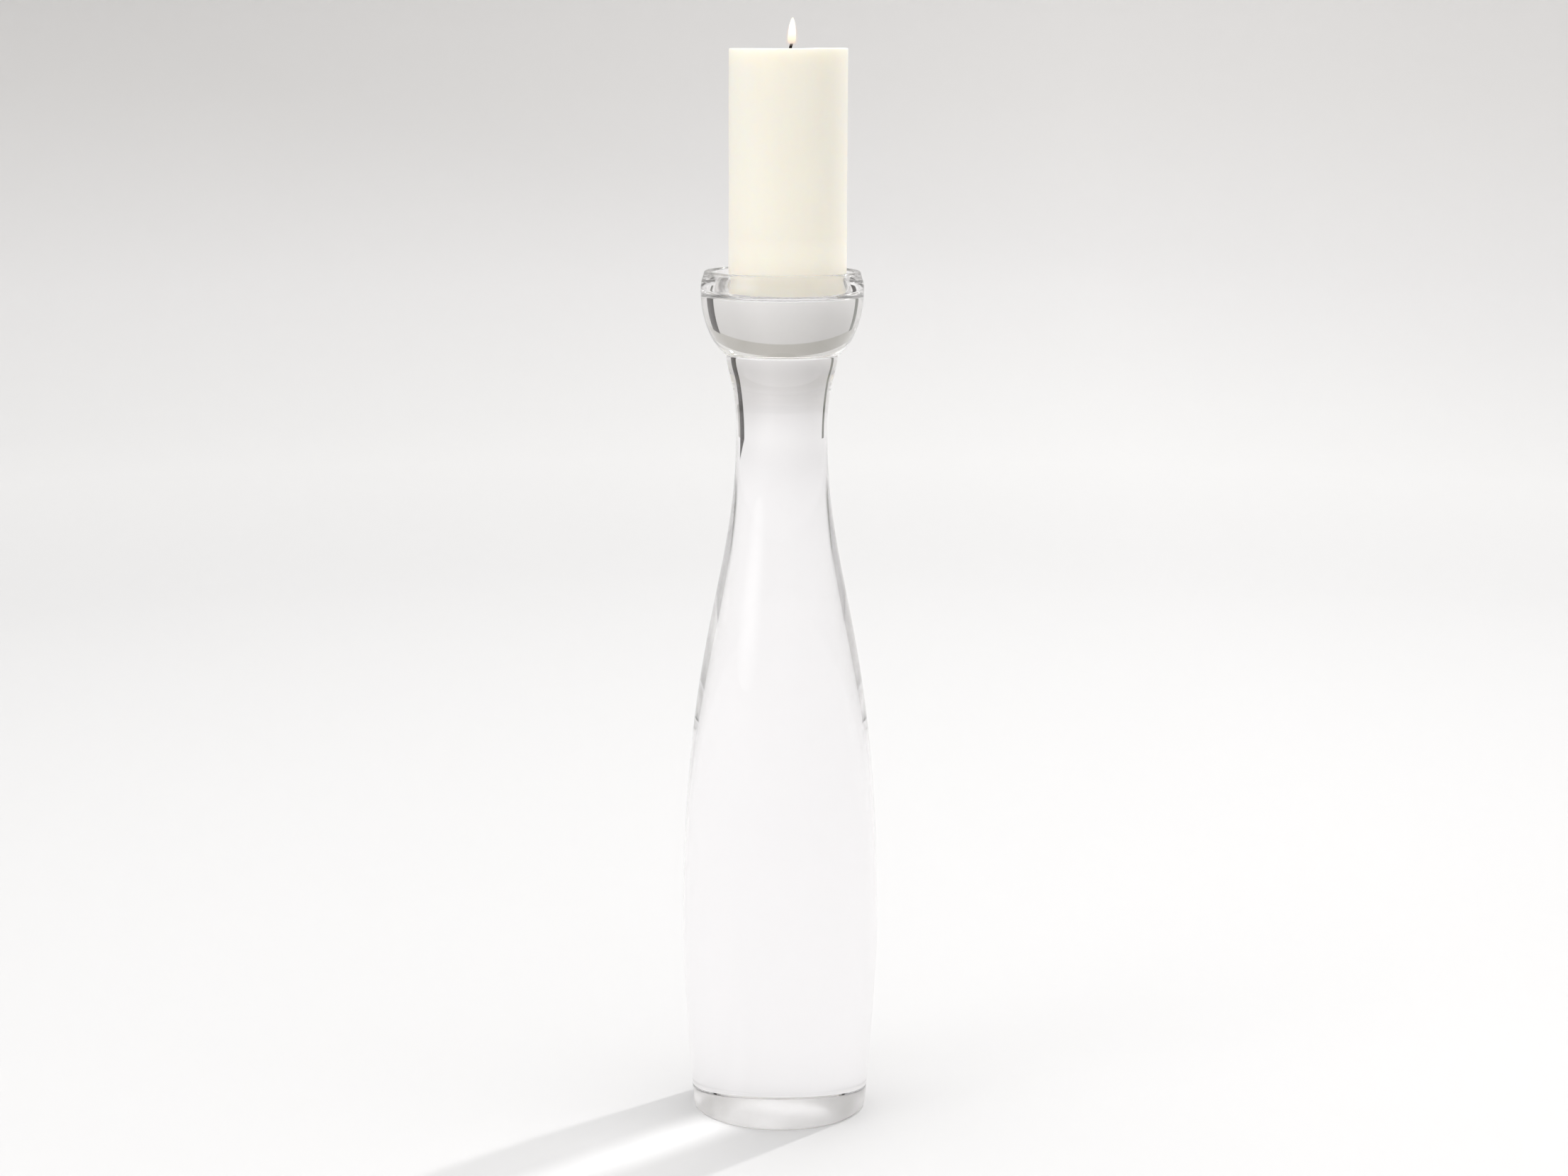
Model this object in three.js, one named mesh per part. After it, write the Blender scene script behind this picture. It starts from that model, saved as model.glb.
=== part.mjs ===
// A tall candlestick of solid clear crystal, with the pillar candle that it carries.
// The stand is a turned and polished column, a pressed cup for the candle, and the thin
// film of clear adhesive that bonds them. The candle is wax round a braided wick, whose
// foot is held by a small steel sustainer, and it lifts out of the cup.
import * as THREE from "three";

// Driving dimensions in millimetres. +Z is up and the origin is the centre of the base.
const BASE = { radius: 56.6, bevel: 1 };
const BELLY = { radius: 63.8, z: 116 };
const WAIST = { radius: 29.15, z: 448 };
const SHOULDER = { radius: 35.6, rounding: 1 };
const COLUMN_TOP = 497.2;
const BOND = { radius: 33.8, thickness: 0.2, gap: 0.05 };
const CUP_FOOT = { radius: 37.8, rounding: 1.2 };
const CUP_BULGE = { radius: 51.8, z: 539 };
const CUP_RIM = { z: 550, outer: 49.8, inner: 45.6, rounding: 1.6 };
const RECESS = { floor: 533.8, radius: 45.2, fillet: 5 };
const CANDLE = { radius: 37.4, top: 689, offset: 3.3, gap: 0.3, edge: 1 };
const POOL = { rim: 35, radius: 22, depth: 3.2 };
const WICK = { radius: 1, clearance: 0.4, above: 3.2, lean: 2, bend: 0.6, sides: 12 };
const SUSTAINER = { radius: 9.5, thickness: 0.5, collar: 2.3, height: 6, clearance: 0.4 };

// How finely round shapes are divided.
const TURN_STEPS = 60;
const SMALL_TURN_STEPS = 24;
const CURVE_STEPS = 9;
const ROUNDING_STEPS = 4;

// Heights and radii that follow from the dimensions.
const BOND_FLOOR = COLUMN_TOP + BOND.gap;
const CUP_FLOOR = BOND_FLOOR + BOND.thickness + BOND.gap;
const CANDLE_FLOOR = RECESS.floor + CANDLE.gap;
const POOL_FLOOR = CANDLE.top - POOL.depth;
const WICK_TOP = CANDLE.top + WICK.above;
const BORE_RADIUS = WICK.radius + WICK.clearance;

// An outline of radius against height, built up stretch by stretch.
class Outline {
  constructor(radius, z) {
    this.points = [new THREE.Vector2(radius, z)];
  }

  line(radius, z) {
    this.points.push(new THREE.Vector2(radius, z));
    return this;
  }

  // A cubic curve from the last point, given by its two handles and its end.
  curve(handleA, handleB, end, steps = CURVE_STEPS) {
    const rest = [handleA, handleB, end].map(([radius, z]) => new THREE.Vector2(radius, z));
    const bend = new THREE.CubicBezierCurve(this.points.at(-1), ...rest);
    this.points.push(...bend.getPoints(steps).slice(1));
    return this;
  }

  // An arc about a centre, between two angles in degrees.
  arc(radius, z, size, from, to, steps = ROUNDING_STEPS) {
    for (let i = 1; i <= steps; i += 1) {
      const angle = THREE.MathUtils.degToRad(from + ((to - from) * i) / steps);
      this.line(radius + size * Math.cos(angle), z + size * Math.sin(angle));
    }
    return this;
  }

  closed() {
    return this.line(this.points[0].x, this.points[0].y);
  }

  // The solid that the outline makes when it is turned about the vertical axis.
  turned(steps) {
    return new THREE.LatheGeometry(this.points, steps).rotateX(Math.PI / 2);
  }
}

const CRYSTAL = { color: 0xf3f6f5, roughness: 0.02, metalness: 0, transparent: true, opacity: 0.35 };
const ADHESIVE = { color: 0xf5f7f6, roughness: 0.08, metalness: 0, transparent: true, opacity: 0.35 };
const WAX = { color: 0xf3ead9, roughness: 0.55, metalness: 0 };
const CHARRED_COTTON = { color: 0x2a2420, roughness: 0.95, metalness: 0 };
const TINNED_STEEL = { color: 0xb8bbbd, roughness: 0.35, metalness: 1 };

function piece(name, geometry, finish) {
  const mesh = new THREE.Mesh(geometry, new THREE.MeshStandardMaterial(finish));
  mesh.name = name;
  return mesh;
}

// The column swells from its base to a low belly, narrows to a waist and flares to its top.
function makeColumn() {
  const { rounding } = SHOULDER;
  const shoulder = COLUMN_TOP - rounding;
  const outline = new Outline(0, 0)
    .line(BASE.radius - BASE.bevel, 0)
    .line(BASE.radius, BASE.bevel)
    .curve([59.8, 38], [BELLY.radius, BELLY.z - 18], [BELLY.radius, BELLY.z])
    .curve(
      [BELLY.radius, BELLY.z + 203],
      [WAIST.radius, WAIST.z - 100],
      [WAIST.radius, WAIST.z],
      2 * CURVE_STEPS,
    )
    .curve([WAIST.radius, WAIST.z + 29], [35.25, 486], [SHOULDER.radius, shoulder])
    .arc(SHOULDER.radius - rounding, shoulder, rounding, 0, 90)
    .line(0, COLUMN_TOP);
  return piece("column", outline.turned(TURN_STEPS), CRYSTAL);
}

// The film of clear adhesive that fills the flat joint under the cup.
function makeBond() {
  const top = BOND_FLOOR + BOND.thickness;
  const outline = new Outline(0, BOND_FLOOR)
    .line(BOND.radius, BOND_FLOOR)
    .line(BOND.radius, top)
    .line(0, top);
  return piece("bond", outline.turned(TURN_STEPS), ADHESIVE);
}

// The cup flares from its foot to a bulge and closes in a little to a rounded rim. Its
// recess has a flat floor, a filleted corner and a nearly upright wall.
function makeCup() {
  const foot = CUP_FOOT.rounding;
  const lip = CUP_RIM.rounding;
  const lipZ = CUP_RIM.z - lip;
  const outline = new Outline(0, CUP_FLOOR)
    .line(CUP_FOOT.radius - foot, CUP_FLOOR)
    .arc(CUP_FOOT.radius - foot, CUP_FLOOR + foot, foot, -90, 0)
    .curve([46, 505.5], [CUP_BULGE.radius, 520], [CUP_BULGE.radius, CUP_BULGE.z])
    .curve([CUP_BULGE.radius, 543], [50.6, 545.5], [CUP_RIM.outer, lipZ], ROUNDING_STEPS)
    .arc(CUP_RIM.outer - lip, lipZ, lip, 0, 90)
    .line(CUP_RIM.inner + lip, CUP_RIM.z)
    .arc(CUP_RIM.inner + lip, lipZ, lip, 90, 180)
    .line(RECESS.radius, RECESS.floor + RECESS.fillet)
    .arc(RECESS.radius - RECESS.fillet, RECESS.floor + RECESS.fillet, RECESS.fillet, 0, -90)
    .line(0, RECESS.floor);
  return piece("cup", outline.turned(TURN_STEPS), CRYSTAL);
}

// The wax is a straight pillar, dished where it has melted, with a bore for the wick and a
// stepped pocket underneath for the sustainer.
function makeCandleBody() {
  const { edge } = CANDLE;
  const pocket = SUSTAINER.radius + SUSTAINER.clearance;
  const pocketTop = CANDLE_FLOOR + SUSTAINER.thickness + SUSTAINER.clearance;
  const well = SUSTAINER.collar + SUSTAINER.clearance;
  const wellTop = CANDLE_FLOOR + SUSTAINER.height + SUSTAINER.clearance;
  const outline = new Outline(pocket, CANDLE_FLOOR)
    .line(CANDLE.radius - edge, CANDLE_FLOOR)
    .line(CANDLE.radius, CANDLE_FLOOR + edge)
    .line(CANDLE.radius, CANDLE.top - edge)
    .arc(CANDLE.radius - edge, CANDLE.top - edge, edge, 0, 90)
    .line(POOL.rim, CANDLE.top)
    .curve([32, CANDLE.top], [30, POOL_FLOOR], [POOL.radius, POOL_FLOOR], ROUNDING_STEPS)
    .line(BORE_RADIUS, POOL_FLOOR)
    .line(BORE_RADIUS, wellTop)
    .line(well, wellTop)
    .line(well, pocketTop)
    .line(pocket, pocketTop)
    .closed();
  return piece("candle_body", outline.turned(TURN_STEPS), WAX);
}

// The wick stands upright in its bore and bends over towards its tip above the wax.
function makeWick() {
  const foot = CANDLE_FLOOR + SUSTAINER.thickness;
  const bendHeight = WICK_TOP - POOL_FLOOR;
  const outline = new Outline(0, foot).line(WICK.radius, foot).line(WICK.radius, POOL_FLOOR);
  for (let i = 1; i <= ROUNDING_STEPS; i += 1) {
    outline.line(WICK.radius, POOL_FLOOR + (bendHeight * i) / ROUNDING_STEPS);
  }
  const geometry = outline.line(0, WICK_TOP).turned(WICK.sides);
  const place = geometry.getAttribute("position");
  for (let i = 0; i < place.count; i += 1) {
    const along = Math.max(0, place.getZ(i) - POOL_FLOOR) / bendHeight;
    place.setX(i, place.getX(i) + WICK.lean * along ** WICK.bend);
  }
  return piece("wick", geometry, CHARRED_COTTON);
}

// A thin steel disc with a collar round the foot of the wick.
function makeSustainer() {
  const discTop = CANDLE_FLOOR + SUSTAINER.thickness;
  const outline = new Outline(BORE_RADIUS, CANDLE_FLOOR)
    .line(SUSTAINER.radius, CANDLE_FLOOR)
    .line(SUSTAINER.radius, discTop)
    .line(SUSTAINER.collar, discTop)
    .line(SUSTAINER.collar, CANDLE_FLOOR + SUSTAINER.height)
    .line(BORE_RADIUS, CANDLE_FLOOR + SUSTAINER.height)
    .closed();
  return piece("wick_sustainer", outline.turned(SMALL_TURN_STEPS), TINNED_STEEL);
}

const stand = new THREE.Group();
stand.add(makeColumn(), makeBond(), makeCup());

// The candle stands a little to one side of the cup's centre.
const candle = new THREE.Group();
candle.position.x = CANDLE.offset;
candle.add(makeCandleBody(), makeWick(), makeSustainer());

const candlestick = new THREE.Group();
candlestick.add(stand, candle);

export default candlestick;
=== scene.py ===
import math

import bpy
from mathutils import Matrix, Vector, noise


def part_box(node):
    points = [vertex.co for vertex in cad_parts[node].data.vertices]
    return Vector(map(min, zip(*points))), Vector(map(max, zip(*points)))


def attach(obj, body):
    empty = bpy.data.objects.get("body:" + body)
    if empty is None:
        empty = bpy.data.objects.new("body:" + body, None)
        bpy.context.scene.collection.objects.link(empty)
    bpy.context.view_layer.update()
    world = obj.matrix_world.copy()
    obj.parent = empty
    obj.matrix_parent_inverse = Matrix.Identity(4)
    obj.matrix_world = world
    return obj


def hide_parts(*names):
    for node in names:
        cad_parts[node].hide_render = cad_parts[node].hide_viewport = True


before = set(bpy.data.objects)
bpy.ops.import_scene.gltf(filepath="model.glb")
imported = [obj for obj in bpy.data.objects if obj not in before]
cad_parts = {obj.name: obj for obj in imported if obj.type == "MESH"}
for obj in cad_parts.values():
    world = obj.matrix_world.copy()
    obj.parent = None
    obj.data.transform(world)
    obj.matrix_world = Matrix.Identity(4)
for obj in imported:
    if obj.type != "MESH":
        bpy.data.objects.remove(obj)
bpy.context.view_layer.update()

# ---------------------------------------------------------------------------
# Sizes, in millimetres. What the frame holds is read from it.
# ---------------------------------------------------------------------------
MM = 0.001


def box_mm(node):
    low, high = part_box(node)
    return Vector(low) / MM, Vector(high) / MM


COLUMN_LOW, COLUMN_HIGH = box_mm("column")
CUP_LOW, CUP_HIGH = box_mm("cup")
BOND_LOW, BOND_HIGH = box_mm("bond")
WAX_LOW, WAX_HIGH = box_mm("candle_body")
WICK_LOW, WICK_HIGH = box_mm("wick")

BASE_RADIUS = 56.6
BASE_BEVEL = 1.0
BELLY_RADIUS = COLUMN_HIGH.x
BELLY_Z = 116.0
WAIST_RADIUS = 29.15
WAIST_Z = 448.0
SHOULDER_RADIUS = 35.6
SHOULDER_ROUNDING = 1.0
COLUMN_TOP = COLUMN_HIGH.z
BOND_RADIUS = BOND_HIGH.x

CUP_FOOT_RADIUS = 37.8
CUP_FOOT_ROUNDING = 1.2
BULGE_RADIUS = CUP_HIGH.x
BULGE_Z = 539.0
RIM_Z = CUP_HIGH.z
RIM_OUTER = 49.8
RIM_INNER = 45.6
RIM_ROUNDING = 1.6
CANDLE_GAP = 0.3
RECESS_FLOOR = WAX_LOW.z - CANDLE_GAP
RECESS_RADIUS = 45.2
RECESS_FILLET = 5.0

CANDLE_X = (WAX_LOW.x + WAX_HIGH.x) / 2
CANDLE_RADIUS = (WAX_HIGH.x - WAX_LOW.x) / 2
CANDLE_TOP = WAX_HIGH.z
CANDLE_FOOT = WAX_LOW.z
CANDLE_EDGE = 1.0
POCKET_RADIUS = 9.9
POCKET_DEPTH = 0.9
WELL_RADIUS = 2.7
WELL_DEPTH = 6.4
POOL_DEPTH = 3.2
POOL_RIM = 35.0
POOL_RADIUS = 22.0
POOL_Z = CANDLE_TOP - POOL_DEPTH
WICK_TOP = WICK_HIGH.z
WICK_RADIUS = (WICK_HIGH.y - WICK_LOW.y) / 2
WICK_LEAN = WICK_HIGH.x - CANDLE_X - WICK_RADIUS
BORE_RADIUS = WICK_RADIUS + 0.4

# How finely round shapes are divided.
TURN_STEPS = 192
POOL_TURN_STEPS = 96
FLAME_TURN_STEPS = 48


# ---------------------------------------------------------------------------
# Mesh helpers
# ---------------------------------------------------------------------------
class Outline:
    """An outline of radius against height in millimetres, built up stretch by stretch."""

    def __init__(self, radius, z):
        self.points = [(radius, z)]

    def line(self, radius, z):
        self.points.append((radius, z))
        return self

    def flat(self, radius, z, hold=0.12):
        """A straight stretch with a point close to each end, which keeps its shading straight."""
        r0, z0 = self.points[-1]
        length = math.hypot(radius - r0, z - z0)
        near = min(0.3, hold / length)
        for t in (near, 0.5, 1 - near, 1):
            self.points.append((r0 + (radius - r0) * t, z0 + (z - z0) * t))
        return self

    def curve(self, handle_a, handle_b, end, steps=40):
        """A cubic curve from the last point, given by its two handles and its end."""
        corners = [Vector(p) for p in (self.points[-1], handle_a, handle_b, end)]
        for i in range(1, steps + 1):
            t = i / steps
            weights = ((1 - t) ** 3, 3 * (1 - t) ** 2 * t, 3 * (1 - t) * t**2, t**3)
            self.points.append(tuple(sum((c * w for c, w in zip(corners, weights)), Vector((0, 0)))))
        return self

    def arc(self, radius, z, size, start, stop, steps=8):
        """An arc about a centre, between two angles in degrees."""
        for i in range(1, steps + 1):
            angle = math.radians(start + (stop - start) * i / steps)
            self.points.append((radius + size * math.cos(angle), z + size * math.sin(angle)))
        return self


def new_piece(name, verts, faces, materials, face_slots=None):
    mesh = bpy.data.meshes.new(name)
    mesh.from_pydata([Vector(v) * MM for v in verts], [], faces)
    for material in materials:
        mesh.materials.append(material)
    mesh.polygons.foreach_set("use_smooth", [True] * len(mesh.polygons))
    if face_slots:
        mesh.polygons.foreach_set("material_index", face_slots)
    mesh.update()
    piece = bpy.data.objects.new(name, mesh)
    bpy.context.scene.collection.objects.link(piece)
    return piece


def turned(
    name,
    outline,
    materials,
    centre_x=0.0,
    closed=False,
    steps=TURN_STEPS,
    slot_of=None,
    shift=None,
):
    """The outline turned about the upright axis at centre_x. A point on the axis becomes one
    vertex. slot_of(radius, z) picks a face's material, and shift(radius, z, angle) may move
    each point by a vector."""
    verts, rings = [], []
    for radius, z in outline.points:
        count = 1 if radius < 1e-6 else steps
        rings.append(range(len(verts), len(verts) + count))
        for j in range(count):
            angle = 2 * math.pi * j / steps
            point = Vector((radius * math.cos(angle), radius * math.sin(angle), z))
            if shift:
                point += shift(radius, z, angle)
            verts.append(point + Vector((centre_x, 0, 0)))
    faces, slots = [], []
    pairs = list(zip(rings, rings[1:])) + ([(rings[-1], rings[0])] if closed else [])
    ends = outline.points + outline.points[:1]
    for k, (first, second) in enumerate(pairs):
        (r0, z0), (r1, z1) = ends[k], ends[k + 1]
        slot = slot_of((r0 + r1) / 2, (z0 + z1) / 2) if slot_of else 0
        for j in range(steps):
            n = (j + 1) % steps
            corners = [first[j % len(first)], first[n % len(first)]]
            corners += [second[n % len(second)], second[j % len(second)]]
            faces.append(list(dict.fromkeys(corners)))
            slots.append(slot)
    return new_piece(name, verts, faces, materials, slots)


# ---------------------------------------------------------------------------
# Materials
# ---------------------------------------------------------------------------
class Nodes:
    """A material's node tree, with short ways to add and join nodes."""

    def __init__(self, name):
        self.material = bpy.data.materials.new(name)
        self.material.use_nodes = True
        self.tree = self.material.node_tree
        self.shader = self.tree.nodes["Principled BSDF"]
        self.output = self.tree.nodes["Material Output"]

    def add(self, kind, **inputs):
        node = self.tree.nodes.new(kind)
        for key, value in inputs.items():
            socket = key.replace("_", " ")
            if socket in node.inputs:
                node.inputs[socket].default_value = value
            else:
                setattr(node, key, value)
        return node

    def join(self, source, target):
        self.tree.links.new(source, target)

    def set(self, **inputs):
        for key, value in inputs.items():
            self.shader.inputs[key.replace("_", " ")].default_value = value

    def place(self, scale=(1, 1, 1)):
        """The object's own coordinates, in metres, stretched by scale."""
        where = self.add("ShaderNodeTexCoord")
        mapping = self.add("ShaderNodeMapping", Scale=scale)
        self.join(where.outputs["Object"], mapping.inputs["Vector"])
        return mapping.outputs["Vector"]

    def noise(self, place, scale, detail=3.0, roughness=0.5):
        node = self.add("ShaderNodeTexNoise", Scale=scale, Detail=detail, Roughness=roughness)
        self.join(place, node.inputs["Vector"])
        return node.outputs["Fac"]

    def ramp(self, fac, stops):
        """The colour at fac, between stops of a position and a colour."""
        node = self.add("ShaderNodeValToRGB")
        elements = node.color_ramp.elements
        elements.remove(elements[1])
        for i, (position, colour) in enumerate(stops):
            element = elements[0] if i == 0 else elements.new(position)
            element.position = position
            element.color = (*colour, 1)
        self.join(fac, node.inputs["Fac"])
        return node.outputs["Color"]

    def spread(self, fac, low, high):
        """A value between 0 and 1 stretched to lie between low and high."""
        node = self.add("ShaderNodeMapRange", To_Min=low, To_Max=high)
        self.join(fac, node.inputs["Value"])
        return node.outputs["Result"]

    def mix(self, fac, a, b):
        node = self.add("ShaderNodeMix", data_type="RGBA")
        colours = {socket.identifier: socket for socket in node.inputs}
        self.join(fac, colours["Factor_Float"])
        self.join(a, colours["A_Color"])
        self.join(b, colours["B_Color"])
        return next(out for out in node.outputs if out.identifier == "Result_Color")

    def above(self, low, high):
        """0 below one height in millimetres, 1 above another, and even between them."""
        where = self.add("ShaderNodeSeparateXYZ")
        self.join(self.place(), where.inputs["Vector"])
        node = self.add("ShaderNodeMapRange", From_Min=low * MM, From_Max=high * MM)
        self.join(where.outputs["Z"], node.inputs["Value"])
        return node.outputs["Result"]

    def measure(self, operation, direction=(0, 0, 0)):
        """The length of the place on the object, or how far it lies in a direction."""
        node = self.add("ShaderNodeVectorMath", operation=operation)
        self.join(self.place(), node.inputs[0])
        node.inputs[1].default_value = direction
        return node.outputs["Value"]

    def fade(self, value, low, high, start, stop):
        """A smooth change from start to stop between two lengths in millimetres."""
        ends = {"From_Min": low * MM, "From_Max": high * MM, "To_Min": start, "To_Max": stop}
        node = self.add("ShaderNodeMapRange", interpolation_type="SMOOTHSTEP", **ends)
        self.join(value, node.inputs["Value"])
        return node.outputs["Result"]

    def combine(self, operation, a, b):
        """Two values put together by a mathematical operation."""
        node = self.add("ShaderNodeMath", operation=operation)
        self.join(a, node.inputs[0])
        self.join(b, node.inputs[1])
        return node.outputs["Value"]

    def bump(self, height, distance, strength=1.0):
        node = self.add("ShaderNodeBump", Strength=strength, Distance=distance)
        self.join(height, node.inputs["Height"])
        self.join(node.outputs["Normal"], self.shader.inputs["Normal"])


def crystal(name, tint, waviness, roughness=0.0):
    """Clear crystal, polished unless it has a roughness: a nearly invisible waviness and the
    faintest tint."""
    nodes = Nodes(name)
    nodes.set(Transmission_Weight=1.0, IOR=1.52, Roughness=roughness)
    nodes.set(Base_Color=(*tint, 1))
    place = nodes.place((1, 1, 0.35))
    clarity = nodes.noise(place, 14.0, 2.0)
    pale = tuple(min(1.0, c + 0.004) for c in tint)
    nodes.join(nodes.ramp(clarity, [(0.3, tint), (0.7, pale)]), nodes.shader.inputs["Base Color"])
    nodes.bump(nodes.noise(place, 22.0, 1.0), waviness)
    return nodes.material


def optical_contact():
    """Where the cured adhesive wets the glass there is no reflection and no bending."""
    nodes = Nodes("optical_contact")
    clear = nodes.add("ShaderNodeBsdfTransparent")
    nodes.join(clear.outputs["BSDF"], nodes.output.inputs["Surface"])
    nodes.tree.nodes.remove(nodes.shader)
    return nodes.material


def ivory_wax():
    """Pale wax that light enters and leaves, a little mottled, with a skin like egg shell."""
    nodes = Nodes("ivory_wax")
    place = nodes.place()
    mottle = nodes.noise(nodes.place((1, 1, 0.12)), 70.0, 4.0, 0.6)
    colour = nodes.ramp(mottle, [(0.25, (0.950, 0.884, 0.790)), (0.75, (0.965, 0.902, 0.813))])
    nodes.join(colour, nodes.shader.inputs["Base Color"])
    sheen = nodes.spread(nodes.noise(place, 140.0, 3.0), 0.38, 0.55)
    nodes.join(sheen, nodes.shader.inputs["Roughness"])
    nodes.set(Subsurface_Weight=0.85, Subsurface_Scale=0.009, IOR=1.44, Specular_IOR_Level=0.45)
    nodes.shader.inputs["Subsurface Radius"].default_value = (1.0, 0.85, 0.62)
    nodes.bump(nodes.noise(place, 420.0, 4.0, 0.6), 0.00006, 0.6)
    # A faint glow stands in for the light that the cup's rim throws on to the foot of the wax.
    glow = [(0.0, (0, 0, 0)), (0.74, (0.030, 0.028, 0.023)), (0.98, (0.180, 0.165, 0.139))]
    lit = nodes.ramp(nodes.above(RIM_Z + 90, RIM_Z - 2), glow)
    nodes.join(lit, nodes.shader.inputs["Emission Color"])
    nodes.set(Emission_Strength=1.0)
    return nodes.material


def molten_wax():
    nodes = Nodes("molten_wax")
    place = nodes.place()
    haze = nodes.noise(place, 90.0, 3.0)
    colour = nodes.ramp(haze, [(0.3, (0.97, 0.93, 0.84)), (0.8, (0.99, 0.96, 0.89))])
    nodes.join(colour, nodes.shader.inputs["Base Color"])
    nodes.join(nodes.spread(haze, 0.01, 0.05), nodes.shader.inputs["Roughness"])
    nodes.set(Transmission_Weight=0.9, IOR=1.44)
    nodes.bump(nodes.noise(place, 60.0, 1.0), 0.00005)
    return nodes.material


def charred_cotton():
    nodes = Nodes("charred_cotton")
    fibres = nodes.noise(nodes.place((1, 1, 0.4)), 2600.0, 5.0, 0.7)
    char = nodes.ramp(fibres, [(0.3, (0.006, 0.005, 0.005)), (0.8, (0.040, 0.031, 0.026))])
    cotton = nodes.ramp(fibres, [(0.3, (0.70, 0.64, 0.51)), (0.8, (0.86, 0.81, 0.69))])
    burnt = nodes.above(POOL_Z + 0.3, POOL_Z + 1.5)
    nodes.join(nodes.mix(burnt, cotton, char), nodes.shader.inputs["Base Color"])
    nodes.set(Roughness=0.95, Specular_IOR_Level=0.2)
    nodes.bump(fibres, 0.00012)
    return nodes.material


def tinned_steel():
    nodes = Nodes("tinned_steel")
    rolled = nodes.noise(nodes.place((1, 12, 1)), 500.0, 3.0)
    colour = nodes.ramp(rolled, [(0.3, (0.55, 0.56, 0.57)), (0.7, (0.72, 0.73, 0.74))])
    nodes.join(colour, nodes.shader.inputs["Base Color"])
    nodes.join(nodes.spread(rolled, 0.25, 0.42), nodes.shader.inputs["Roughness"])
    nodes.set(Metallic=1.0)
    nodes.bump(rolled, 0.00002)
    return nodes.material


def burning_gas(name, stops, edge, thinness):
    """A flame: it glows by height through the colour stops. thinness is how much shows through
    its middle, and edge how fast it fades towards its outline."""
    nodes = Nodes(name)
    colour = nodes.ramp(nodes.above(FLAME_FOOT, FLAME_FOOT + FLAME_HEIGHT), stops)
    glow = nodes.add("ShaderNodeEmission", Strength=FLAME_STRENGTH)
    nodes.join(colour, glow.inputs["Color"])
    clear = nodes.add("ShaderNodeBsdfTransparent")
    facing = nodes.add("ShaderNodeLayerWeight", Blend=edge)
    both = nodes.add("ShaderNodeMixShader")
    nodes.join(nodes.spread(facing.outputs["Facing"], thinness, 1.0), both.inputs[0])
    nodes.join(glow.outputs["Emission"], both.inputs[1])
    nodes.join(clear.outputs["BSDF"], both.inputs[2])
    nodes.join(both.outputs["Shader"], nodes.output.inputs["Surface"])
    nodes.tree.nodes.remove(nodes.shader)
    return nodes.material


def backdrop_paper():
    """Matt white paper with painted shade: greyer high up the wall, towards the left and far to the
    right.
    """
    nodes = Nodes("backdrop_paper")
    # The paper's colour, with painted shade by height.
    stops = [(z / PAPER_COLOUR_AND_PAINTED_SHADE[-1][0], colour) for z, colour in PAPER_COLOUR_AND_PAINTED_SHADE]
    paper = nodes.ramp(nodes.above(0, PAPER_COLOUR_AND_PAINTED_SHADE[-1][0]), stops)
    # Painted shade from left to right, in full up the wall.
    where = nodes.add("ShaderNodeSeparateXYZ")
    nodes.join(nodes.place(), where.inputs["Vector"])
    across = nodes.add("ShaderNodeMapRange", From_Min=PAPER_LEFT * MM, From_Max=-PAPER_LEFT * MM)
    nodes.join(where.outputs["X"], across.inputs["Value"])
    shade = nodes.ramp(across.outputs["Result"], [(t, (g, g, g)) for t, g in PAPER_PAINTED_SHADE_ACROSS])
    uphill = nodes.add("ShaderNodeMapRange", To_Min=1.0)
    nodes.join(nodes.above(*PAPER_PAINTED_SHADE_HEIGHTS), uphill.inputs["Value"])
    nodes.join(shade, uphill.inputs["To Max"])
    shaded = nodes.add("ShaderNodeVectorMath", operation="SCALE")
    nodes.join(paper, shaded.inputs["Vector"])
    nodes.join(uphill.outputs["Result"], shaded.inputs["Scale"])
    nodes.join(shaded.outputs["Vector"], nodes.shader.inputs["Base Color"])
    nodes.set(Roughness=1.0, Specular_IOR_Level=0.0, Emission_Strength=1.0)
    nodes.join(gathered_light(nodes), nodes.shader.inputs["Emission Color"])
    nodes.bump(nodes.noise(nodes.place(), 900.0, 2.0), 0.00002, 0.3)
    return nodes.material


def gathered_light(nodes):
    """Stands in for the light that the column throws on the paper: a soft glow under its
    base, and a streak along the middle of the key light's shadow."""
    bearing = math.radians(KEY_BEARING)
    ahead = (-math.sin(bearing), -math.cos(bearing), 0)
    aside = (math.cos(bearing), -math.sin(bearing), 0)
    outward = nodes.measure("LENGTH")
    along = nodes.measure("DOT_PRODUCT", ahead)
    across = nodes.add("ShaderNodeMath", operation="ABSOLUTE")
    nodes.join(nodes.measure("DOT_PRODUCT", aside), across.inputs[0])
    base = nodes.fade(outward, BASE_RADIUS + 2.4, BASE_RADIUS - 6.6, 0.0, BASE_GLOW)
    middle = nodes.fade(across.outputs["Value"], STREAK_HALF_WIDTH, 0, 0.0, STREAK_GLOW)
    leaving = nodes.fade(along, 40, 62, 0.0, 1.0)
    far = nodes.fade(along, 90, STREAK_END, 1.0, 0.0)
    streak = nodes.combine("MULTIPLY", nodes.combine("MULTIPLY", middle, leaving), far)
    return nodes.combine("ADD", base, streak)


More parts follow.
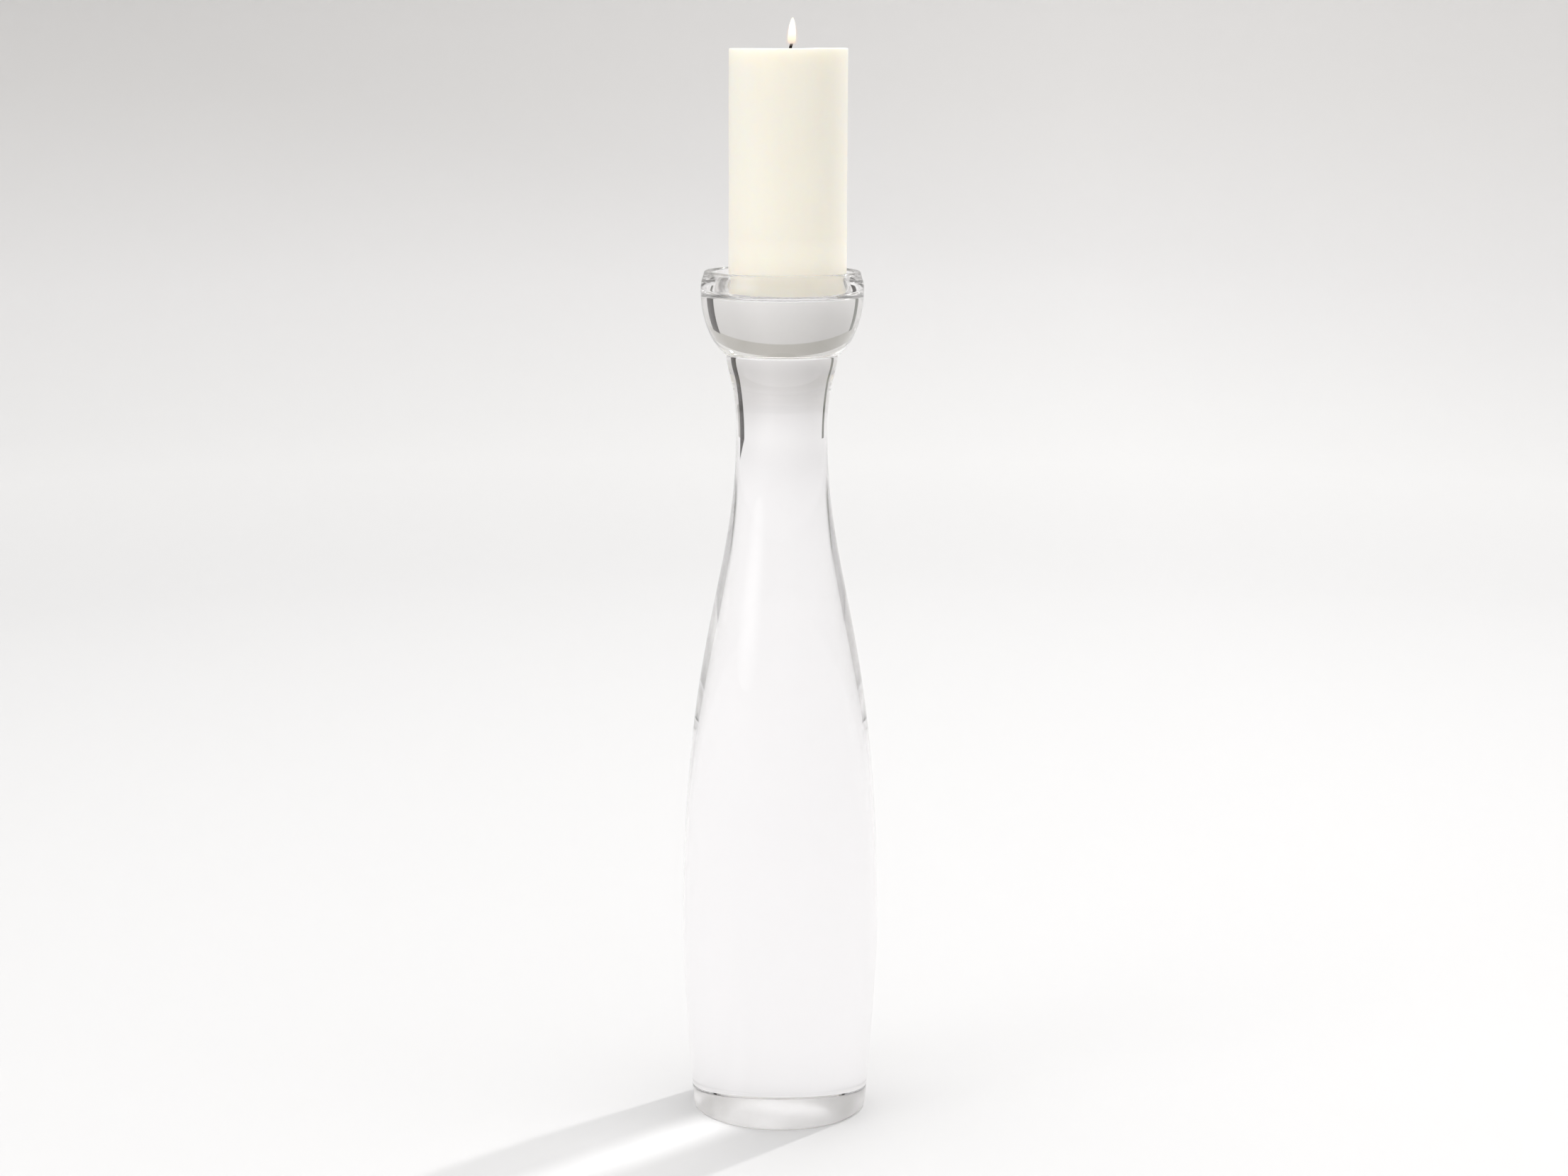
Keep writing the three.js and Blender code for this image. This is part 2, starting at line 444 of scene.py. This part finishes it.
def painted_dark_card(name, colour):
    """Painted dark, matt like felt, let through where the card's own measure of cover is low."""
    nodes = Nodes(name)
    weave = nodes.noise(nodes.place(), 60.0, 3.0)
    pale = tuple(c * 1.2 for c in colour)
    nodes.join(nodes.ramp(weave, [(0.3, colour), (0.7, pale)]), nodes.shader.inputs["Base Color"])
    nodes.set(Roughness=1.0, Specular_IOR_Level=0.0)
    cover = nodes.add("ShaderNodeAttribute", attribute_name="cover")
    clear = nodes.add("ShaderNodeBsdfTransparent")
    both = nodes.add("ShaderNodeMixShader")
    nodes.join(cover.outputs["Fac"], both.inputs[0])
    nodes.join(clear.outputs["BSDF"], both.inputs[1])
    nodes.join(nodes.shader.outputs["BSDF"], both.inputs[2])
    nodes.join(both.outputs["Shader"], nodes.output.inputs["Surface"])
    return nodes.material


# ---------------------------------------------------------------------------
# The stand
# ---------------------------------------------------------------------------
GLASS = 0
CONTACT = 1
GROUND = 2


def make_column(glass, contact, ground):
    shoulder = COLUMN_TOP - SHOULDER_ROUNDING
    flat_top = SHOULDER_RADIUS - SHOULDER_ROUNDING
    outline = Outline(0, 0)
    outline.flat(BASE_RADIUS - BASE_BEVEL, 0)
    outline.flat(BASE_RADIUS, BASE_BEVEL)
    outline.curve((59.8, 38), (BELLY_RADIUS, BELLY_Z - 18), (BELLY_RADIUS, BELLY_Z), 50)
    outline.curve(
        (BELLY_RADIUS, BELLY_Z + 203), (WAIST_RADIUS, WAIST_Z - 100), (WAIST_RADIUS, WAIST_Z), 130
    )
    outline.curve((WAIST_RADIUS, WAIST_Z + 29), (35.25, 486), (SHOULDER_RADIUS, shoulder), 30)
    outline.arc(flat_top, shoulder, SHOULDER_ROUNDING, 0, 90)
    outline.flat(BOND_RADIUS, COLUMN_TOP, 0.05)
    outline.line(0, COLUMN_TOP)

    def slot_of(radius, z):
        if z < 1e-6:
            return GROUND
        return CONTACT if z > COLUMN_TOP - 1e-6 and radius < BOND_RADIUS else GLASS

    piece = turned("column_crystal", outline, [glass, contact, ground], slot_of=slot_of)
    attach(piece, "stand")
    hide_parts("column")


def make_cup(glass, contact):
    foot = CUP_FOOT_ROUNDING
    foot_z = CUP_LOW.z
    lip_z = RIM_Z - RIM_ROUNDING
    corner_z = RECESS_FLOOR + RECESS_FILLET
    outline = Outline(0, foot_z)
    outline.line(BOND_RADIUS, foot_z)
    outline.flat(CUP_FOOT_RADIUS - foot, foot_z)
    outline.arc(CUP_FOOT_RADIUS - foot, foot_z + foot, foot, -90, 0)
    outline.curve((46, 505.5), (BULGE_RADIUS, 520), (BULGE_RADIUS, BULGE_Z))
    outline.curve((BULGE_RADIUS, 543), (50.6, 545.5), (RIM_OUTER, lip_z), 16)
    outline.arc(RIM_OUTER - RIM_ROUNDING, lip_z, RIM_ROUNDING, 0, 90)
    outline.flat(RIM_INNER + RIM_ROUNDING, RIM_Z)
    outline.arc(RIM_INNER + RIM_ROUNDING, lip_z, RIM_ROUNDING, 90, 180)
    outline.flat(RECESS_RADIUS, corner_z)
    outline.arc(RECESS_RADIUS - RECESS_FILLET, corner_z, RECESS_FILLET, 0, -90, 16)
    outline.flat(0, RECESS_FLOOR)

    def slot_of(radius, z):
        return CONTACT if z < foot_z + 1e-6 and radius < BOND_RADIUS else GLASS

    piece = turned("cup_crystal", outline, [glass, contact], slot_of=slot_of)
    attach(piece, "stand")
    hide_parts("cup")


def make_bond(glass, contact):
    low, high = BOND_LOW.z, BOND_HIGH.z
    outline = Outline(0, low)
    outline.line(BOND_RADIUS, low)
    outline.line(BOND_RADIUS, high)
    outline.line(0, high)

    def slot_of(radius, z):
        return GLASS if low < z < high else CONTACT

    piece = turned("bond_film", outline, [glass, contact], slot_of=slot_of)
    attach(piece, "stand")
    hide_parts("bond")


# ---------------------------------------------------------------------------
# The candle
# ---------------------------------------------------------------------------
LIP_DROP = 0.5


def lip_shift(radius, z, angle):
    """The melted lip stands highest on the right and wanders a little all round."""
    near_top = max(0.0, 1 - (CANDLE_TOP - z) / 8) ** 2
    on_lip = near_top * min(1.0, max(0.0, (radius - POOL_RADIUS) / 12))
    outward = Vector((math.cos(angle), math.sin(angle), 0))
    raised = min(1.0, max(0.0, (math.cos(angle) - 0.25) * 4))
    wander = noise.noise(outward * 2.6)
    drop = LIP_DROP * (0.75 * (1 - raised) + 0.25 * (0.5 - 0.5 * wander))
    unevenness = 0.10 * noise.noise(Vector((outward.x, outward.y, z / 45)))
    side = unevenness * min(1.0, radius / CANDLE_RADIUS) - 0.06
    return Vector((0, 0, -drop * on_lip)) + outward * side * (radius > 0.8 * CANDLE_RADIUS)


def make_candle(wax):
    edge = CANDLE_EDGE
    pocket_top = CANDLE_FOOT + POCKET_DEPTH
    well_top = CANDLE_FOOT + WELL_DEPTH
    side_height = CANDLE_TOP - CANDLE_FOOT - 2 * edge
    side_steps = 40
    outline = Outline(POCKET_RADIUS, CANDLE_FOOT)
    outline.flat(CANDLE_RADIUS - edge, CANDLE_FOOT)
    outline.arc(CANDLE_RADIUS - edge, CANDLE_FOOT + edge, edge, -90, 0)
    for i in range(1, side_steps + 1):
        outline.line(CANDLE_RADIUS, CANDLE_FOOT + edge + side_height * i / side_steps)
    outline.arc(CANDLE_RADIUS - edge, CANDLE_TOP - edge, edge, 0, 90)
    outline.line(POOL_RIM, CANDLE_TOP)
    outline.curve((32, CANDLE_TOP), (30, POOL_Z), (POOL_RADIUS, POOL_Z), 16)
    outline.flat(BORE_RADIUS, POOL_Z)
    outline.line(BORE_RADIUS, well_top)
    outline.line(WELL_RADIUS, well_top)
    outline.line(WELL_RADIUS, pocket_top)
    outline.line(POCKET_RADIUS, pocket_top)
    piece = turned("candle_wax", outline, [wax], CANDLE_X, closed=True, shift=lip_shift)
    piece.data.set_sharp_from_angle(angle=math.radians(50))
    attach(piece, "candle")
    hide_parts("candle_body")


def make_melt_pool(liquid):
    """A thin lens of molten wax that climbs a little at the wick and at its shore."""
    shore, surface = 27.0, POOL_Z + 1.1
    inner = WICK_RADIUS + 0.45
    outline = Outline(inner, POOL_Z + 0.03)
    outline.line(POOL_RADIUS, POOL_Z + 0.03)
    outline.curve((25, POOL_Z + 0.1), (26, POOL_Z + 0.4), (shore, surface + 0.12), 10)
    outline.curve((shore - 0.8, surface), (shore - 2, surface), (shore - 4, surface), 8)
    outline.line(inner + 2, surface)
    outline.curve((inner + 0.9, surface), (inner + 0.2, surface + 0.2), (inner, surface + 0.5), 8)
    piece = turned("melt_pool", outline, [liquid], CANDLE_X, closed=True, steps=POOL_TURN_STEPS)
    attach(piece, "candle")


def wick_middle(z):
    """Where the wick's middle line is at a height: upright in the wax, bent over above it."""
    along = max(0.0, z - POOL_Z) / (WICK_TOP - POOL_Z)
    return CANDLE_X + WICK_LEAN * along**0.6


def make_wick(cotton):
    """Three twisted strands, finely stepped where they show, ragged at the burnt tip."""
    foot = WICK_LOW.z
    heights = [foot + (POOL_Z - 2 - foot) * i / 30 for i in range(30)]
    shown = 48
    heights += [POOL_Z - 2 + (WICK_TOP - POOL_Z + 2) * i / shown for i in range(shown + 1)]
    steps = 36
    verts, faces = [(wick_middle(foot), 0, foot)], []
    for z in heights:
        taper = min(1.0, WICK_TOP - z + 0.06) ** 0.5
        for j in range(steps):
            angle = 2 * math.pi * j / steps
            strand = 0.80 + 0.20 * abs(math.cos(1.5 * angle - z * 0.9))
            char = max(0.0, z - POOL_Z) / 6
            spot = Vector((math.cos(angle), math.sin(angle), z * 1.7)) * 2.1
            rough = 1 + 0.10 * char * noise.noise(spot)
            size = WICK_RADIUS * strand * taper * rough
            verts.append((wick_middle(z) + size * math.cos(angle), size * math.sin(angle), z))
    verts.append((wick_middle(WICK_TOP), 0, WICK_TOP))
    for j in range(steps):
        n = (j + 1) % steps
        faces.append((0, 1 + n, 1 + j))
        for k in range(len(heights) - 1):
            a, b = 1 + k * steps, 1 + (k + 1) * steps
            faces.append((a + j, a + n, b + n, b + j))
        last = 1 + (len(heights) - 1) * steps
        faces.append((last + j, last + n, len(verts) - 1))
    piece = new_piece("wick_braid", verts, faces, [cotton])
    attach(piece, "candle")
    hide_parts("wick")


FLAME_FOOT = WICK_TOP - 0.9
FLAME_HEIGHT = 16.4
FLAME_RADIUS = 2.6
FLAME_STRENGTH = 1.25
# The flame's colours from its foot to its tip.
CORE_STOPS = [
    (0.00, (0.74, 0.60, 0.50)),
    (0.10, (0.92, 0.76, 0.58)),
    (0.22, (1.00, 0.94, 0.70)),
    (0.40, (1.00, 0.98, 0.96)),
    (0.70, (1.00, 0.97, 0.93)),
    (1.00, (0.98, 0.94, 0.80)),
]
HALO_STOPS = [(0.0, (0.72, 0.60, 0.55)), (0.5, (0.80, 0.62, 0.52)), (1.0, (0.76, 0.66, 0.58))]


def make_flame(name, grow, gas):
    """A pointed flame that leans a little to the right. grow widens it all round."""
    foot = FLAME_FOOT - grow * 0.4
    height = FLAME_HEIGHT - grow * 0.2
    radius = FLAME_RADIUS + grow * 0.45
    outline = Outline(0, foot)
    widest = (radius, foot + height * 0.22)
    outline.curve((radius * 0.85, foot - 0.1), (radius, foot + height * 0.06), widest, 20)
    shoulder = (radius, foot + height * 0.55)
    outline.curve(shoulder, (radius * 0.62, foot + height * 0.94), (0, foot + height), 26)

    def lean(radius, z, angle):
        along = max(0.0, z - foot) / height
        return Vector((0.55 * along**1.5, 0, 0))

    middle = wick_middle(WICK_TOP)
    piece = turned(name, outline, [gas], middle, steps=FLAME_TURN_STEPS, shift=lean)
    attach(piece, "candle")


# ---------------------------------------------------------------------------
# Studio: a pale round cove, soft light from above and in front, a key light behind
# ---------------------------------------------------------------------------
# The paper's colour by height in millimetres, greyer up the wall as painted shade.
# From 1790 to 2650 mm it is a painted dark band that the glass shows, lighter again above.
PAPER_COLOUR_AND_PAINTED_SHADE = [
    (0, (0.775, 0.775, 0.783)),
    (90, (0.872, 0.872, 0.878)),
    (160, (0.887, 0.887, 0.893)),
    (320, (0.890, 0.886, 0.894)),
    (620, (0.820, 0.812, 0.812)),
    (850, (0.790, 0.782, 0.782)),
    (1000, (0.778, 0.770, 0.767)),
    (1730, (0.746, 0.737, 0.735)),
    (1790, (0.555, 0.540, 0.508)),
    (2650, (0.555, 0.540, 0.508)),
    (2720, (0.950, 0.945, 0.935)),
    (3400, (0.950, 0.945, 0.935)),
]
# Painted shade across the paper.
# How light it is from its left (0) to its right (1), in full above the second of two
# heights and less and less below it. Its left and right are as far from the middle.
PAPER_PAINTED_SHADE_ACROSS = [(0.0, 0.80), (0.68, 0.968), (0.80, 0.955), (1.0, 0.915)]
PAPER_PAINTED_SHADE_HEIGHTS = (-300, 150)
PAPER_LEFT = -1400
# The light gathered on the paper: how strong it is, and the streak's size in millimetres.
BASE_GLOW = 0.22
STREAK_GLOW = 0.26
STREAK_HALF_WIDTH = 30
STREAK_END = 420
FLOOR_GAP = 0.2
FLOOR_RADIUS = 2000.0
SWEEP = 1500.0
WALL_TOP_Z = 3400.0


def make_cove():
    outline = Outline(0, -FLOOR_GAP)
    for radius in (200, 600, 1200, FLOOR_RADIUS):
        outline.line(radius, -FLOOR_GAP)
    outline.arc(FLOOR_RADIUS, SWEEP - FLOOR_GAP, SWEEP, -90, 0, 30)
    outline.line(FLOOR_RADIUS + SWEEP, WALL_TOP_Z)
    piece = turned("cove", outline, [backdrop_paper()], steps=128)
    piece.data.flip_normals()
    return piece


# Each card is painted dark, standing in for dark surroundings that only the glass shows.
# Cards that only the glass sees: name, colour, the bearings between which it stands, the
# heights of its two feet and its top, its distance from the axis, in degrees and
# millimetres, and the part of its width that fades away at each edge.
UMBER = (0.012, 0.006, 0.005)
SMOKE = (0.110, 0.115, 0.095)
ASH = (0.400, 0.395, 0.380)
CARDS = [
    ("card_right", UMBER, (42, 54), (370, 320, 700), 500, 0.0),
    ("card_right_far", ASH, (54, 62), (370, 370, 500), 500, 0.0),
    ("card_right_low", SMOKE, (50, 92), (150, 150, 340), 300, 0.3),
    ("card_left", SMOKE, (-56, -49), (370, 370, 700), 500, 0.0),
    ("card_left_low", SMOKE, (-92, -50), (150, 150, 340), 300, 0.3),
    ("card_back", SMOKE, (150, 210), (630, 630, 1050), 1300, 0.3),
]


def cover_of(across, up, fade):
    """How much of the light a card stops at a place on it, which falls off at its edges."""
    if fade == 0:
        return 1.0
    inside = min(1.0, min(across, 1 - across) / fade) * min(1.0, min(up, 1 - up) / fade)
    return inside * inside * (3 - 2 * inside)


def make_card(name, colour, bearings, heights, distance, fade):
    """A curved card of painted dark round the object. Only the glass shows it, as a dark line at its
    edges.
    """
    steps = 24
    start, stop = bearings
    first_foot, last_foot, top = heights
    verts, faces, cover = [], [], []
    for i in range(steps + 1):
        across = i / steps
        angle = math.radians(start + (stop - start) * across)
        x, y = distance * math.sin(angle), distance * math.cos(angle)
        foot = first_foot + (last_foot - first_foot) * across
        for j in range(steps + 1):
            up = j / steps
            verts.append((x, y, foot + (top - foot) * up))
            cover.append(cover_of(across, up, fade))
    for i in range(steps):
        for j in range(steps):
            k = i * (steps + 1) + j
            faces.append((k, k + 1, k + steps + 2, k + steps + 1))
    card = new_piece(name, verts, faces, [painted_dark_card(name, colour)])
    card.data.attributes.new("cover", "FLOAT", "POINT").data.foreach_set("value", cover)
    card.visible_camera = False
    card.visible_diffuse = False
    card.visible_shadow = False
    card.visible_glossy = False


KEY_BEARING = 44.0
KEY_ELEVATION = 36.0
KEY_WIDTH = 2.7
KEY_STRENGTH = 1.1


def fade_edges(data, place, reach):
    """Let a softbox fade from its bright middle towards its edges, reach metres out."""
    data.use_nodes = True
    tree = data.node_tree
    spot = tree.nodes.new("ShaderNodeNewGeometry")
    away = tree.nodes.new("ShaderNodeVectorMath")
    away.operation = "DISTANCE"
    away.inputs[1].default_value = place
    fade = tree.nodes.new("ShaderNodeMapRange")
    fade.interpolation_type = "SMOOTHSTEP"
    fade.inputs["From Max"].default_value = reach
    fade.inputs["To Min"].default_value = 1.0
    fade.inputs["To Max"].default_value = 0.0
    tree.links.new(spot.outputs["Position"], away.inputs[0])
    tree.links.new(away.outputs["Value"], fade.inputs["Value"])
    tree.links.new(fade.outputs["Result"], tree.nodes["Emission"].inputs["Strength"])


def add_softbox(name, place, aim, power, size, reach):
    data = bpy.data.lights.new(name, "AREA")
    data.energy = power
    data.shape = "SQUARE"
    data.size = size
    fade_edges(data, place, reach)
    light = bpy.data.objects.new(name, data)
    light.location = place
    light.rotation_euler = (Vector(aim) - Vector(place)).to_track_quat("-Z", "Y").to_euler()
    bpy.context.scene.collection.objects.link(light)


def add_key(cove):
    """A distant hard light from behind on the right, which the cove doesn't block."""
    data = bpy.data.lights.new("key", "SUN")
    data.energy = KEY_STRENGTH
    data.color = (1, 0.985, 0.965)
    data.angle = math.radians(KEY_WIDTH)
    light = bpy.data.objects.new("key", data)
    light.location = from_object(KEY_BEARING, KEY_ELEVATION, 3.0)
    towards = from_object(KEY_BEARING, KEY_ELEVATION, 1.0, 0)
    light.rotation_euler = towards.to_track_quat("Z", "Y").to_euler()
    bpy.context.scene.collection.objects.link(light)
    passed = bpy.data.collections.new("passed_by_key")
    passed.objects.link(cove)
    light.light_linking.blocker_collection = passed
    passed.collection_objects[0].light_linking.link_state = "EXCLUDE"


def from_object(bearing, elevation, distance, height=0.3):
    """A place at a bearing from +Y towards +X, an elevation and a distance, in metres."""
    a, e = math.radians(bearing), math.radians(elevation)
    level = distance * math.cos(e)
    return Vector((level * math.sin(a), level * math.cos(a), height + distance * math.sin(e)))


def make_lights(cove):
    add_key(cove)
    middle = (0, 0, 0.4)
    add_softbox("top_fill", (0.2, 0, 3.35), (0.2, 0, 0), 23, 4.2, 2.6)
    add_softbox("pool", (0.3, 1.0, 3.3), (0.3, 1.6, 0), 19, 1.2, 0.9)
    add_softbox("front_left", from_object(-125, 22, 3.0), middle, 60, 3.0, 1.5)
    add_softbox("right_fill", from_object(110, 32, 3.0), middle, 9, 2.6, 1.3)


def make_world():
    """The room over the cove: greyer just above the paper's edge, brightest overhead."""
    world = bpy.data.worlds.new("studio")
    world.use_nodes = True
    tree = world.node_tree
    where = tree.nodes.new("ShaderNodeTexCoord")
    split = tree.nodes.new("ShaderNodeSeparateXYZ")
    ramp = tree.nodes.new("ShaderNodeValToRGB")
    lower, upper = ramp.color_ramp.elements
    lower.position, lower.color = 0.72, (0.75, 0.74, 0.71, 1)
    upper.position, upper.color = 0.88, (1.50, 1.50, 1.50, 1)
    tree.links.new(where.outputs["Generated"], split.inputs["Vector"])
    tree.links.new(split.outputs["Z"], ramp.inputs["Fac"])
    tree.links.new(ramp.outputs["Color"], tree.nodes["Background"].inputs["Color"])
    bpy.context.scene.world = world


# ---------------------------------------------------------------------------
# Camera
# ---------------------------------------------------------------------------
CAMERA_LENS = 70.37
CAMERA_PLACE = (0.0018, -1.945, 0.689)
CAMERA_DOWN = 10.0
CAMERA_ROLL = 0.22


def make_camera():
    data = bpy.data.cameras.new("camera")
    data.sensor_width = 36.0
    data.lens = CAMERA_LENS
    camera = bpy.data.objects.new("camera", data)
    camera.location = CAMERA_PLACE
    tilt = Matrix.Rotation(math.radians(90 - CAMERA_DOWN), 3, "X")
    roll = Matrix.Rotation(math.radians(CAMERA_ROLL), 3, "Z")
    camera.rotation_euler = (tilt @ roll).to_euler()
    bpy.context.scene.collection.objects.link(camera)
    bpy.context.scene.camera = camera


make_camera()
make_world()
cove = make_cove()
make_lights(cove)
for card in CARDS:
    make_card(*card)

column_glass = crystal("column_crystal", (0.955, 0.947, 0.955), 0.00003)
ground_glass = crystal("ground_underside", (0.955, 0.947, 0.955), 0.00003, 0.5)
cup_glass = crystal("cup_crystal", (0.975, 0.970, 0.967), 0.00004)
film = crystal("adhesive_film", (0.985, 0.988, 0.984), 0.00001)
contact = optical_contact()
make_column(column_glass, contact, ground_glass)
make_cup(cup_glass, contact)
make_bond(film, contact)

make_candle(ivory_wax())
make_melt_pool(molten_wax())
make_wick(charred_cotton())
make_flame("flame", 0.0, burning_gas("flame_core", CORE_STOPS, 0.25, 0.0))
make_flame("flame_halo", 3.0, burning_gas("flame_halo", HALO_STOPS, 0.5, 0.72))

steel = tinned_steel()
for slot in bpy.data.objects["wick_sustainer"].material_slots:
    slot.material = steel

scene = bpy.context.scene
scene.view_settings.view_transform = "Standard"
scene.view_settings.look = "None"
# Light crosses the thick rim many times before it leaves the glass.
scene.cycles.max_bounces = 48
scene.cycles.transmission_bounces = 48
scene.cycles.glossy_bounces = 24
